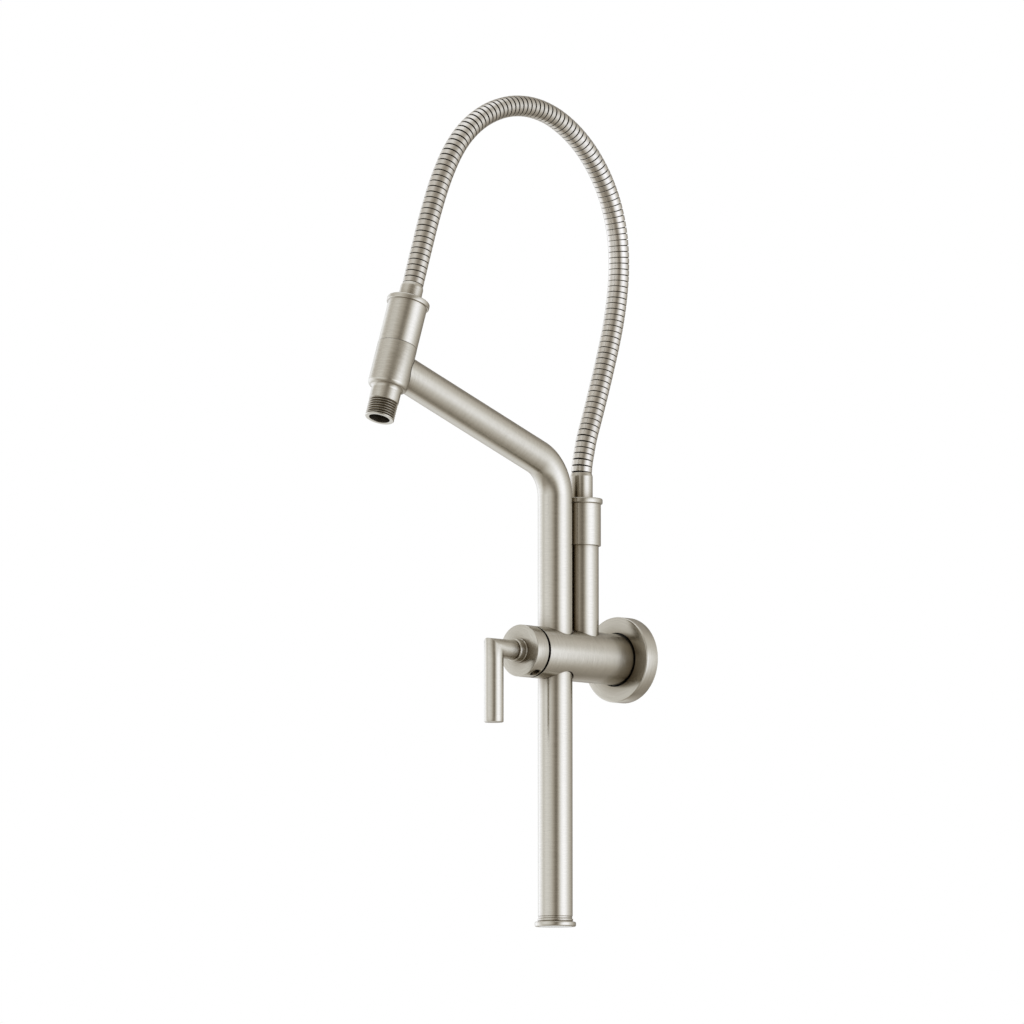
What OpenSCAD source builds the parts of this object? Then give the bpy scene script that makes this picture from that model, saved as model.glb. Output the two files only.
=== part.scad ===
// Wall-held pre-rinse faucet: a horizontal valve body carries a swivelling post
// with its sloping arm, and a riser that feeds the sprung-metal hose to the arm's end.
// Origin: centre of the wall rosette's back face. +Z is up, -Y points out from the
// wall. All lengths are millimetres.

/* [Post and arm] */
// Outer diameter of the post and arm tube
post_d = 25; // [22:0.5:28]
// Wall of the post and arm tube
post_wall = 2; // [1.5:0.1:2.5]
// Distance of the post's axis from the wall
post_out = 76.6; // [74:0.1:80]
// Height of the corner where the post's and the arm's axes would meet
corner_z = 134.7; // [125:0.1:150]
// Radius of the bend at that corner
bend_r = 29.5; // [26:0.5:34]
// Rise of the arm above the horizontal
arm_rise = 19; // [10:1:30]
// Length of the arm's axis from the corner to the outlet's axis
arm_len = 180.2; // [150:0.1:200]
// Depth of the counter below the valve's axis
foot_z = 196.8; // [150:0.1:240]
// Diameter of the foot's flange
foot_d = 29.8; // [28:0.1:34]

/* [Valve body] */
// Diameter of the valve body and of the handle's cap
body_d = 37.5; // [36:0.5:40]
// Distance from the wall to the front face of the body
body_front = 101.9; // [100:0.1:110]
// Gap between the body and the turning cap
cap_gap = 1.1; // [0.6:0.1:1.5]
// Distance from the wall to the front face of the cap
cap_front = 114.8; // [113:0.1:118]
// Diameter of the wall rosette
rosette_d = 62.4; // [60:0.2:70]
// Height of the rosette from the wall
rosette_h = 11.7; // [10:0.1:14]

/* [Lever] */
// Diameter of the lever's rod
lever_d = 14; // [12:0.5:16]
// Distance from the wall to the axis of the hanging rod
lever_out = 141.6; // [138:0.1:150]
// Length of the rod below the valve's axis
lever_drop = 53.2; // [40:0.5:80]

/* [Riser and hose] */
// Distance of the riser's axis from the wall
riser_out = 48.2; // [48:0.1:48.6]
// Diameter of the riser
riser_d = 25; // [22:0.5:25]
// Height of the lower hose nut's top
nut_top_z = 114.8; // [114:0.1:116]
// Length of the lower hose nut
nut_len = 34.5; // [33:0.1:35.5]
// Diameter of a hose nut
nut_d = 28.2; // [27:0.1:28.6]
// Diameter of the nut's flange
nut_flange_d = 30.8; // [30:0.1:32]
// Diameter of the hose's end ferrules
ferrule_d = 16.4; // [15.6:0.1:17]
// Outer diameter of the hose's metal cover
hose_d = 15.3; // [14:0.1:16]
// Length of hose taken by one band of its metal cover
rib_pitch = 4.4; // [4:0.1:6]

/* [Outlet] */
// Outer diameter of the outlet's thread, G 1/2
thread_d = 20.955; // [20.955]
// Pitch of the outlet's thread, 14 turns to the inch
thread_pitch = 1.814; // [1.814]
// Diameter of the outlet's bore
outlet_bore = 14.8; // [12:0.2:15]

/* [Hidden] */
$fn = 96;

fit = 0.05;              // radial clearance of a running or seated fit
eps = 0.01;              // overlap that keeps cuts clean
edge = 0.4;              // small chamfer on turned edges

// Valve body and wall fixing, all measured outward from the wall
bracket_d = 54;
bracket_t = 4;
bracket_holes_pcd = 44;
bracket_hole_d = 5.2;
spigot_d = 24;
spigot_end = 30;
inlet_thread_d = 18.631;  // minor diameter of the G 1/2 supply thread
inlet_thread_l = 14;
waterway_d = 14;
o_ring_t = 1.7;
o_ring_places = [22.5, 27.2];
grub_out = 16;
grub_d = 5;
body_back = 4.3;
body_r = body_d / 2;
socket_end = spigot_end + 1;
gallery_end = 33;
gallery_z = 4.5;          // half height of the cast waterways
gallery_x = [13.9, 16.9];  // inner and outer side of the cast waterways
chamber_floor = 94;
chamber_r = 12.5;
port_x = 6;
port_r = 2;
cross_way = [91, 93];     // waterway that feeds the ports, behind the chamber floor
nut_recess_r = 14;
nut_recess_l = 3;
cap_back = body_front + cap_gap;
cap_wall = 2.6;
cap_face_t = 3.4;

// Post and its bearings
post_r = post_d / 2;
post_bore_r = post_r + fit;
relief_r = post_r + 0.45;
relief_z = 12.4;
bearing_z = [10.6, -10.8];
bearing_t = 1.8;
bearing_r = 13.5;
lock_z = -7.2;
lock_screw_d = 4;
lock_depth = 0.8;
bend_angle = 90 - arm_rise;
bend_run = bend_r * tan(bend_angle / 2);
bend_lap = 0.4;           // degrees by which the bend reaches into the straight lengths
bend_thin = 0.05;         // the bend's wall is drawn out thinner by this on each side
post_end_z = -189.3;

// Riser, hose ends
riser_r = riser_d / 2;
riser_seat_z = 12;
riser_thread_r = 10.2;
riser_bore_r = 7.5;
riser_foot_z = 2;
stub_len = 12;            // threaded stub inside a nut
washer_t = 2;
tail_flange_t = 2.5;
nut_roof = 6.5;
liner_d = 9.4;
liner_bore = 7;
ferrule_low_len = 19;      // visible length of each ferrule above its nut
ferrule_up_len = 12.4;
ferrule_taper = 2.6;
ferrule_tip = 0.3;         // the tip is this much smaller in radius than the hose
crimp_r = 6.1;             // radius of the hose's cover where it is crimped
ferrule_bore_r = crimp_r + 0.35;
low_gap = 0.6;             // between a ferrule's tip and the hose's first full band
up_gap = 0.2;
upper_grip = 15.5;         // length of hose inside the sleeve's ferrule
nut_up_len = 35.4;

// Outlet sleeve, in its own frame: z runs up along the hose's axis from the point
// where the arm's axis meets it
sleeve_d = 28.4;
seam_z = 15.4;
seam_gap = 0.3;
shoulder_z = -14.4;
shoulder_r = 3;
shoulder_sweep = 75;
fillet_r = 3.8;
neck_d = 21.3;
thread_start = -27.7;
thread_turns = 7;
outlet_end = -40.9;
nut_up_top = seam_z + seam_gap + nut_up_len;

// The hose's route as [y, z], from inside the riser's ferrule to inside the sleeve's. The
// points were computed: a smoothing curve through the hose's measured centre line, rounded
// to 0.1 mm. Its ends run straight in the ferrules, and the loop bulges sideways.
hose_bulge = 1.5;
route = [
    [-48.2, 114.5], [-48.2, 123.5], [-48.2, 132.6], [-47.3, 140.8], [-45.3, 149.6],
    [-42.5, 160.1], [-37, 175.2], [-31.9, 189.6], [-26.9, 204.3], [-22.1, 219.1], [-17.6, 233.9],
    [-13.7, 248.9], [-10.8, 264.2], [-8.9, 279.6], [-8.6, 295.1], [-10.1, 310.5],
    [-13.9, 325.5], [-19.8, 339.8], [-27.9, 353.1], [-37.8, 365], [-49.3, 375.4],
    [-62.3, 383.9], [-76.4, 390.4], [-91.3, 394.5], [-106.7, 395.9], [-122.2, 394.6],
    [-137.2, 390.7], [-151.4, 384.5], [-164.5, 376.2], [-176, 365.9], [-185.7, 353.8],
    [-193.7, 340.5], [-200.5, 326.5], [-206.3, 312.2], [-211.7, 297.6], [-216.6, 282.9],
    [-221.5, 268.1], [-226.31, 253.41], [-228.91, 245.84], [-231.36, 238.75]
];

// ---------- helpers ----------

// Places things along the valve's axis: local +z points out from the wall
module outward() { rotate([90, 0, 0]) children(); }

// Solid or ring on the valve's axis between two distances from the wall
module bar_out(d, from, to, bore = 0)
    outward() translate([0, 0, from]) ring(d, to - from, bore);

// Upright ring, or a disc where bore is 0
module ring(d, h, bore = 0)
    difference() {
        cylinder(d = d, h = h);
        if (bore > 0) translate([0, 0, -1]) cylinder(d = bore, h = h + 2);
    }

// Turned piece with chamfered rims
module chamfered_bar(d, h, low = edge, high = edge)
    rotate_extrude()
        polygon([[0, 0], [d / 2 - low, 0], [d / 2, low], [d / 2, h - high],
            [d / 2 - high, h], [0, h]]);

module o_ring(mean_r, t) rotate_extrude() translate([mean_r, 0]) circle(d = t, $fn = 24);

module at_post() { translate([0, -post_out, 0]) children(); }
module at_riser() { translate([0, -riser_out, 0]) children(); }

// Frame of the sleeve: its z axis runs up along the hose's end
sleeve_y = -post_out - arm_len * cos(arm_rise);
sleeve_z = corner_z + arm_len * sin(arm_rise);
module at_sleeve() { translate([0, sleeve_y, sleeve_z]) rotate([-arm_rise, 0, 0]) children(); }

// Frames of the two hose nuts: z = 0 is the top of the nut's flange
module at_nut_low() { at_riser() translate([0, 0, nut_top_z]) children(); }
module at_nut_up() { at_sleeve() translate([0, 0, nut_up_top]) children(); }

// ---------- wall fixing ----------

module wall_bracket()
    color("darkgoldenrod") difference() {
        union() {
            bar_out(bracket_d, 0, bracket_t);
            outward() translate([0, 0, bracket_t - eps])
                chamfered_bar(spigot_d, spigot_end - bracket_t + eps, 0);
        }
        bar_out(inlet_thread_d, -1, inlet_thread_l);
        bar_out(waterway_d, inlet_thread_l - eps, spigot_end + 1);
        for (place = o_ring_places) outward() translate([0, 0, place - o_ring_t / 2 - 0.1])
            ring(spigot_d + 1, o_ring_t + 0.2, spigot_d - 2 * o_ring_t);
        for (a = [90, 210, 330]) outward() rotate(a)
            translate([bracket_holes_pcd / 2, 0, -1]) cylinder(d = bracket_hole_d, h = 6);
        outward() rotate(-90) translate([spigot_d / 2 - 1, 0, grub_out])
            rotate([0, 90, 0]) cylinder(d = grub_d + 0.2, h = 2);
    }

module spigot_o_rings()
    color("dimgray") for (place = o_ring_places)
        outward() translate([0, 0, place]) o_ring(spigot_d / 2 - o_ring_t / 2 + eps, o_ring_t);

module body_grub_screw()
    color("gray") translate([0, -grub_out, -body_r + 0.6]) difference() {
        cylinder(d = grub_d - 0.06, h = body_r - 0.6 - spigot_d / 2 + 0.9);
        translate([0, 0, -1]) cylinder(d = 2.9, h = 3.5, $fn = 6);
    }

module wall_rosette()
    color("silver") outward() rotate_extrude()
        polygon([[rosette_d / 2, 0], [rosette_d / 2, rosette_h - 0.9], [rosette_d / 2 - 0.9, rosette_h],
            [body_r + 0.9, rosette_h], [body_r + 0.5, rosette_h - 0.4], [body_r + 0.5, rosette_h - 2],
            [rosette_d / 2 - 2, rosette_h - 2], [rosette_d / 2 - 2, 0]]);

module rosette_gasket()
    color("dimgray") bar_out(body_d + 9, rosette_h - 3.6, rosette_h - 2, body_d + 0.04);

// ---------- valve body ----------

module waterway(side)
    translate([side * (gallery_x[0] + gallery_x[1]) / 2, 0, 0]) rotate([90, 0, 0])
        linear_extrude(cross_way[1]) square([gallery_x[1] - gallery_x[0], 2 * gallery_z], center = true);

// A cast duct between two distances from the wall, from x = a to x = b
module duct(a, b, from, to, half_z)
    translate([min(a, b), -to, -half_z]) cube([abs(b - a), to - from, 2 * half_z]);

module valve_body()
    color("silver") difference() {
        outward() translate([0, 0, body_back]) chamfered_bar(body_d, body_front - body_back);
        // socket for the wall spigot and the gallery behind it
        bar_out(spigot_d + 2 * fit, body_back - 1, socket_end);
        bar_out(waterway_d + 4, socket_end - eps, gallery_end);
        duct(0, -gallery_x[1], socket_end - eps, gallery_end, gallery_z);
        // supply duct on one side, outlet duct on the other
        duct(-gallery_x[0], -gallery_x[1], socket_end, cross_way[1], gallery_z);
        duct(gallery_x[0], gallery_x[1], riser_out - 4, cross_way[1], gallery_z);
        duct(-port_x - 2, -gallery_x[1], cross_way[0], cross_way[1], gallery_z - 0.5);
        duct(port_x + 2, gallery_x[1], cross_way[0], cross_way[1], gallery_z - 0.5);
        duct(0, gallery_x[1], riser_out - 4, riser_out + 4, gallery_z - 0.5);
        for (side = [-1, 1]) translate([side * port_x, 0, 0])
            bar_out(2 * port_r, cross_way[0], chamber_floor + 1);
        for (side = [-1, 1]) duct(side * (port_x - 1), side * (port_x + 3), cross_way[0], cross_way[1], 1.8);
        // chamber for the cartridge and the recess for its nut
        bar_out(2 * chamber_r, chamber_floor, body_front + 1);
        bar_out(2 * nut_recess_r, body_front - nut_recess_l, body_front + 1);
        // bore for the post, with its bearing grooves and reliefs
        at_post() {
            translate([0, 0, -body_d]) cylinder(r = post_bore_r, h = 2 * body_d);
            for (side = [-1, 1]) translate([0, 0, side > 0 ? relief_z : -relief_z - body_d])
                cylinder(r = relief_r, h = body_d);
            for (z = bearing_z) translate([0, 0, z - bearing_t / 2 - 0.05])
                cylinder(r = bearing_r + 0.05, h = bearing_t + 0.1);
            translate([-body_d, 0, lock_z]) rotate([0, 90, 0]) cylinder(d = lock_screw_d, h = body_d);
        }
        // seat for the riser
        at_riser() {
            translate([0, 0, riser_seat_z]) cylinder(r = riser_r + 0.03, h = body_d);
            translate([0, 0, riser_foot_z]) cylinder(r = riser_thread_r + fit, h = body_d);
            translate([0, 0, -gallery_z]) cylinder(r = riser_bore_r, h = body_d);
        }
        // hole for the grub screw
        translate([0, -grub_out, -body_d]) cylinder(d = grub_d, h = body_d);
    }

module post_bearings()
    color("white") at_post() for (z = bearing_z) translate([0, 0, z - bearing_t / 2])
        ring(2 * bearing_r, bearing_t, 2 * (post_r + 0.03));

module post_lock_screw()
    color("gray") at_post() difference() {
        translate([-body_r + 1.7, 0, lock_z]) rotate([0, 90, 0])
            cylinder(d = lock_screw_d - 0.06, h = body_r - 1.7 - post_r + lock_depth - 0.1);
        translate([-body_r, 0, lock_z]) rotate([0, 90, 0]) cylinder(d = 2.3, h = 3.2, $fn = 6);
    }

// ---------- cartridge ----------

gasket_t = 0.8;
disc_t = 1.4;
housing_from = chamber_floor + gasket_t + disc_t;
housing_to = body_front - nut_recess_l;
disc_r = 9.5;
stem_r = 4;
neck_front = housing_to + 5.4;
adapter_d = 19;
adapter_to = cap_front - cap_face_t - 0.4;
adapter_from = neck_front + 0.6;
spindle_end = adapter_to - 4;

module cartridge_gasket()
    color("dimgray") difference() {
        bar_out(2 * chamber_r - 0.4, chamber_floor, chamber_floor + gasket_t);
        for (side = [-1, 1]) translate([side * port_x, 0, 0])
            bar_out(2 * port_r, chamber_floor - 1, chamber_floor + 2);
    }

module fixed_disc()
    color("white") difference() {
        bar_out(2 * disc_r, chamber_floor + gasket_t, chamber_floor + gasket_t + disc_t);
        for (side = [-1, 1]) translate([side * port_x, 0, 0])
            bar_out(2 * port_r, chamber_floor, chamber_floor + 4);
    }

module turning_disc()
    color("ivory") difference() {
        bar_out(2 * disc_r - 1, housing_from, housing_from + disc_t);
        // kidney that joins the two ports when the lever is raised
        outward() translate([0, 0, housing_from - 1])
            linear_extrude(disc_t) square([4, 2 * port_x + 3.4], center = true);
    }

// Shell round the discs, with a neck for the spindle
module cartridge_housing()
    color("tan") outward() rotate_extrude()
        polygon([[disc_r + 0.1, chamber_floor + gasket_t], [chamber_r - 0.1, chamber_floor + gasket_t],
            [chamber_r - 0.1, housing_to], [nut_recess_r - 0.8, housing_to],
            [nut_recess_r - 0.8, housing_to + 1], [stem_r + 2.6, housing_to + 1],
            [stem_r + 2.6, neck_front], [stem_r + fit, neck_front],
            [stem_r + fit, housing_to + 4.2], [stem_r + 1.5, housing_to + 4.2],
            [stem_r + 1.5, housing_to + 2.5], [stem_r + fit, housing_to + 2.5],
            [stem_r + fit, housing_to + 0.1], [disc_r + 0.1, housing_to + 0.1]]);

module cartridge_nut()
    color("goldenrod") difference() {
        bar_out(2 * nut_recess_r - 0.1, housing_to + 1, body_front);
        bar_out(2 * (stem_r + 2.65), housing_to, body_front + 1);
        // two holes for a pin spanner
        for (side = [-1, 1]) translate([side * 10.2, 0, 0]) bar_out(2.4, housing_to, body_front + 1);
    }

// Head that carries the turning disc, and the spindle to the handle
module cartridge_stem()
    color("goldenrod") difference() {
        outward() rotate_extrude()
            polygon([[0, housing_from + disc_t], [disc_r - 0.3, housing_from + disc_t],
                [disc_r - 0.3, housing_to], [stem_r, housing_to], [stem_r, spindle_end],
                [0, spindle_end]]);
        bar_out(3.26, spindle_end - 5, spindle_end + 1);
    }

module stem_o_ring()
    color("dimgray") bar_out(2 * (stem_r + 1.45), housing_to + 2.55, housing_to + 4.1, 2 * stem_r + 0.06);

// Hub on the spindle that the cap's set screw grips
module handle_adapter()
    color("tan") difference() {
        bar_out(adapter_d, adapter_from, adapter_to);
        bar_out(2 * stem_r + 0.06, adapter_from - 1, spindle_end + 0.05);
        bar_out(3.3, spindle_end - 1, adapter_to + 1);
        bar_out(6.2, adapter_to - 1.4, adapter_to + 1);
    }

module adapter_screw()
    color("gray") difference() {
        union() {
            bar_out(3.2, spindle_end - 4.5, adapter_to - 1.3);
            bar_out(6, adapter_to - 1.35, adapter_to);
        }
        outward() translate([0, 0, adapter_to - 1]) cylinder(d = 2.5, h = 2, $fn = 6);
    }

// ---------- handle ----------

set_screw_out = 108.4;
set_screw_side = 30;      // turn of the set screw from the cap's lowest line
set_screw_d = 5;
set_hole_d = 7.4;
collar_d = 16.4;
collar_root_d = 17.3;
collar_end = 121.6;
stem_start = 122.2;
lever_screw_r = 4;        // threaded spigot that fixes the lever in the cap

module cap_screw_frame()
    translate([0, -set_screw_out, 0]) rotate([0, 180 - set_screw_side, 0]) children();

module handle_cap()
    color("silver") difference() {
        outward() translate([0, 0, cap_back]) chamfered_bar(body_d, cap_front - cap_back);
        bar_out(body_d - 2 * cap_wall, cap_back - 1, cap_back + 1.6);
        bar_out(adapter_d + 0.1, cap_back - 1, cap_front - cap_face_t);
        bar_out(2 * lever_screw_r + 0.06, cap_front - cap_face_t - 1, cap_front + 1);
        cap_screw_frame() {
            translate([0, 0, adapter_d / 2 + 3.4]) cylinder(d = set_hole_d, h = body_r);
            cylinder(d = set_screw_d, h = body_r);
        }
    }

module cap_set_screw()
    color("gray") cap_screw_frame() difference() {
        translate([0, 0, adapter_d / 2 + 0.05]) cylinder(d = set_screw_d - 0.06, h = 4.6);
        translate([0, 0, adapter_d / 2 + 2]) cylinder(d = 2.9, h = 4, $fn = 6);
    }

module lever_collar()
    color("silver") outward() rotate_extrude()
        polygon([[lever_screw_r + fit, cap_front], [collar_root_d / 2, cap_front],
            [collar_root_d / 2, cap_front + 0.7], [collar_d / 2 + 0.1, cap_front + 1.3],
            [collar_d / 2, cap_front + 1.4], [collar_d / 2, collar_end - 1],
            [collar_d / 2 - 0.7, collar_end], [lever_screw_r + fit, collar_end]]);

// Hanging rod and its stem, mitred where they meet, with a threaded spigot through
// the collar into the cap
module lever()
    color("silver") {
        difference() {
            translate([0, -lever_out, -lever_drop])
                chamfered_bar(lever_d, lever_drop + lever_d, edge, 0);
            mitre_cut(1);
        }
        difference() {
            outward() translate([0, 0, stem_start])
                chamfered_bar(lever_d, lever_out - stem_start + lever_d, 0.6, 0);
            mitre_cut(-1);
        }
        bar_out(13.2, collar_end, stem_start + 1);
        bar_out(2 * lever_screw_r, cap_front - cap_face_t + 0.1, stem_start + 1);
    }

// Half space on one side of the 45 degree mitre between rod and stem: 1 removes
// what belongs to the stem, -1 what belongs to the rod
module mitre_cut(side)
    translate([0, -lever_out, 0]) rotate([-45, 0, 0])
        translate([-lever_d, -2 * lever_d, side > 0 ? 0 : -4 * lever_d])
            cube([2 * lever_d, 8 * lever_d, 4 * lever_d]);

// ---------- post, foot and arm ----------

// Upright, bend and arm are one tube, coped to the sleeve and grooved for the lock screw
module post_arm()
    color("silver") difference() {
        at_post() {
            translate([0, 0, post_end_z]) rotate(90) post_length(corner_z - bend_run - post_end_z);
            translate([0, -bend_r, corner_z - bend_run]) rotate([90, 0, 90]) rotate(-bend_lap)
                rotate_extrude(angle = bend_angle + 2 * bend_lap) translate([bend_r, 0]) difference() {
                    circle(r = post_r - bend_thin);
                    circle(r = post_r - post_wall + bend_thin);
                }
            translate([0, 0, corner_z]) rotate([bend_angle, 0, 0]) translate([0, 0, bend_run])
                rotate(90) post_length(arm_len - bend_run);
        }
        at_sleeve() translate([0, 0, -60]) cylinder(d = sleeve_d + 0.4, h = 120);
        at_post() translate([0, 0, lock_z - lock_screw_d / 2 - 0.1])
            ring(post_d + 2, lock_screw_d + 0.2, post_d - 2 * lock_depth);
    }

module post_length(h) ring(post_d, h, post_d - 2 * post_wall);

foot_plug_top = -172;
module foot_flange()
    color("silver") at_post() rotate_extrude()
        polygon([[0, -foot_z + 0.8], [foot_d / 2 - 3, -foot_z + 0.8], [foot_d / 2 - 3, -foot_z],
            [foot_d / 2 - 0.8, -foot_z], [foot_d / 2, -foot_z + 0.8], [foot_d / 2, -foot_z + 2.6],
            [foot_d / 2 - 0.6, -foot_z + 3.2], [12.3, -foot_z + 3.5], [12.3, -foot_z + 3.9],
            [12.8, -foot_z + 4.1], [12.8, -foot_z + 5.2], [12.4, -foot_z + 5.6],
            [11.4, -foot_z + 5.7], [11.4, -foot_z + 6], [11.8, -foot_z + 6.1],
            [11.8, -foot_z + 7], [11.3, -foot_z + 7.1], [11.3, post_end_z],
            [post_r - post_wall - fit, post_end_z], [post_r - post_wall - fit, foot_plug_top],
            [0, foot_plug_top]]);

module foot_pad()
    color("white") at_post() translate([0, 0, -foot_z])
        cylinder(d = foot_d - 6.1, h = 0.78);

// Plug brazed in the arm's end, with a stud into the sleeve
module arm_plug()
    color("goldenrod") difference() {
        at_sleeve() rotate([-90, 0, 0]) union() {
            translate([0, 0, sleeve_d / 2 - 4.5]) cylinder(r = bolt_r, h = 6);
            translate([0, 0, sleeve_d / 2 - 4]) cylinder(r = post_r - post_wall - fit, h = 18);
        }
        at_sleeve() translate([0, 0, -30]) difference() {
            cylinder(d = sleeve_d + 0.1, h = 60);
            translate([0, 0, 30]) rotate([-90, 0, 0]) cylinder(r = bolt_r, h = 30);
        }
    }

// Sleeve at the arm's end: threaded stub for the hose above, waterway through it, and
// the outlet's neck and thread below
stub_r = thread_d / 2 - 0.3;
bolt_r = 4;               // stud that holds the sleeve on the arm
module outlet_sleeve()
    color("silver") at_sleeve() difference() {
        union() {
            rotate_extrude() sleeve_profile();
            translate([0, 0, seam_z - 1])
                cylinder(r = stub_r, h = nut_up_len - nut_roof - tail_flange_t - washer_t + 1);
        }
        translate([0, 0, outlet_end - 1]) cylinder(d = outlet_bore, h = 26);
        translate([0, 0, outlet_end]) cylinder(d = 11, h = 90);
        for (turn = [0:thread_turns - 1]) translate([0, 0, thread_start - thread_pitch * (turn + 1)])
            thread_groove();
        rotate([-90, 0, 0]) translate([0, 0, sleeve_d / 2 - 5]) cylinder(r = bolt_r + fit, h = 6);
    }

module thread_groove()
    rotate_extrude() polygon([[thread_d / 2 - 1.1, thread_pitch / 2 - 0.16],
        [thread_d / 2 - 1.1, thread_pitch / 2 + 0.16], [thread_d / 2 + 0.5, thread_pitch - 0.1],
        [thread_d / 2 + 0.5, 0.1]]);

// Half outline of the sleeve: the rounded shoulder meets a hollow fillet in a crease,
// and the fillet runs into the neck
crease_r = sleeve_d / 2 - shoulder_r * (1 - cos(shoulder_sweep));
crease_z = shoulder_z - shoulder_r * sin(shoulder_sweep);
fillet_sweep = acos(1 - (crease_r - neck_d / 2) / fillet_r);
neck_z = crease_z - fillet_r * sin(fillet_sweep);
module sleeve_profile()
    polygon(concat(
        [[0, seam_z], [sleeve_d / 2 - 0.15, seam_z], [sleeve_d / 2, seam_z - 0.15]],
        [for (i = [0:6]) let (a = shoulder_sweep * i / 6)
            [sleeve_d / 2 - shoulder_r * (1 - cos(a)), shoulder_z - shoulder_r * sin(a)]],
        [for (i = [1:5]) let (a = fillet_sweep * (1 - i / 5))
            [neck_d / 2 + fillet_r * (1 - cos(a)), neck_z + fillet_r * sin(a)]],
        [[neck_d / 2, thread_start + 0.3], [thread_d / 2 - 0.5, thread_start + 0.1],
            [thread_d / 2 - 0.5, thread_start - 0.3], [thread_d / 2, thread_start - 0.5],
            [thread_d / 2, outlet_end + 0.6], [thread_d / 2 - 0.6, outlet_end], [0, outlet_end]]));

// ---------- hose ends ----------

module hose_nut(len)
    rotate_extrude()
        polygon([[ferrule_d / 2 + 0.15, 0], [nut_flange_d / 2 - 0.8, 0], [nut_flange_d / 2, -0.8],
            [nut_flange_d / 2, -3], [nut_flange_d / 2 - 0.8, -3.8], [nut_d / 2, -4.1],
            [nut_d / 2, -len + 0.3], [nut_d / 2 - 0.3, -len], [post_r + 0.1, -len],
            [post_r + 0.1, -len + stub_len], [thread_d / 2 + 0.1, -len + stub_len],
            [thread_d / 2 + 0.1, -nut_roof], [ferrule_d / 2 + 0.15, -nut_roof]]);

module hose_washer()
    translate([0, 0, -nut_roof - tail_flange_t - washer_t]) ring(18, washer_t, 10);

// Barbed tail: its flange is held by the nut, its tube carries the liner
module hose_tail(visible)
    rotate_extrude()
        polygon([[2.6, -nut_roof - tail_flange_t], [9.8, -nut_roof - tail_flange_t],
            [9.8, -nut_roof - 0.05], [4.4, -nut_roof - 0.05], [4.4, -nut_roof - 0.6],
            [3.2, -nut_roof - 0.6], [3.2, visible - 4], [2.6, visible - 4]]);

module ferrule(visible)
    rotate_extrude()
        polygon([[ferrule_bore_r, -nut_roof], [ferrule_d / 2, -nut_roof],
            [ferrule_d / 2, visible - ferrule_taper], [hose_d / 2 - ferrule_tip, visible],
            [ferrule_bore_r, visible]]);

module hose_nut_upper() color("silver") at_nut_up() hose_nut(nut_up_len);
module hose_nut_lower() color("silver") at_nut_low() hose_nut(nut_len);
module hose_washer_upper() color("dimgray") at_nut_up() hose_washer();
module hose_washer_lower() color("dimgray") at_nut_low() hose_washer();
module hose_tail_upper() color("goldenrod") at_nut_up() hose_tail(ferrule_up_len);
module hose_tail_lower() color("goldenrod") at_nut_low() hose_tail(ferrule_low_len);
module ferrule_upper() color("silver") at_nut_up() ferrule(ferrule_up_len);
module ferrule_lower() color("silver") at_nut_low() ferrule(ferrule_low_len);

// Riser from the body to the lower nut, ending in a threaded stub
riser_top = nut_top_z - nut_len + stub_len - 0.3;
stub_top = nut_top_z - nut_roof - tail_flange_t - washer_t;
module riser_tube()
    color("silver") at_riser() difference() {
        union() {
            translate([0, 0, riser_seat_z + 0.05]) cylinder(r = riser_r, h = riser_top - riser_seat_z);
            translate([0, 0, riser_foot_z + 2.2]) cylinder(r = riser_thread_r, h = 20);
            translate([0, 0, riser_top - 1]) cylinder(r = stub_r, h = stub_top - riser_top + 1);
        }
        cylinder(r = riser_bore_r, h = 200);
    }

module riser_o_ring()
    color("dimgray") at_riser() translate([0, 0, riser_foot_z])
        ring(2 * riser_thread_r - 0.1, 2.1, 2 * riser_bore_r + 0.4);

// ---------- hose ----------

// Smooth curve through the route's points
function catmull(p0, p1, p2, p3, t) = 0.5 * (2 * p1 + (p2 - p0) * t
    + (2 * p0 - 5 * p1 + 4 * p2 - p3) * t * t + (3 * p1 - p0 - 3 * p2 + p3) * t * t * t);
last = len(route) - 1;
fine = 6;
curve = concat([for (i = [0:last - 1]) for (k = [0:fine - 1])
    catmull(route[max(i - 1, 0)], route[i], route[i + 1], route[min(i + 2, last)], k / fine)], [route[last]]);
function run(points, i = 0, total = 0, found = []) = i == len(points) ? found
    : let (here = i == 0 ? 0 : total + norm(points[i] - points[i - 1]))
    run(points, i + 1, here, concat(found, [here]));
reach = run(curve);
hose_len = reach[len(reach) - 1];
y_at = [for (i = [0:len(curve) - 1]) [reach[i], curve[i][0]]];
z_at = [for (i = [0:len(curve) - 1]) [reach[i], curve[i][1]]];
function on_route(s) = [hose_bulge * pow(sin(180 * s / hose_len), 2), lookup(s, y_at), lookup(s, z_at)];
function clamp_len(s) = max(0, min(hose_len, s));
function heading(s) = let (d = on_route(clamp_len(s + 2)) - on_route(clamp_len(s - 2))) d / norm(d);

// A ring of points round the route: the ends stay square to the ferrules
sides = 8;
function around(s, r) = let (t = heading(s), v = [0, -t[2], t[1]])
    [for (k = [0:sides - 1]) on_route(s) + r * (cos(360 * k / sides) * [1, 0, 0] + sin(360 * k / sides) * v)];

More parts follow.
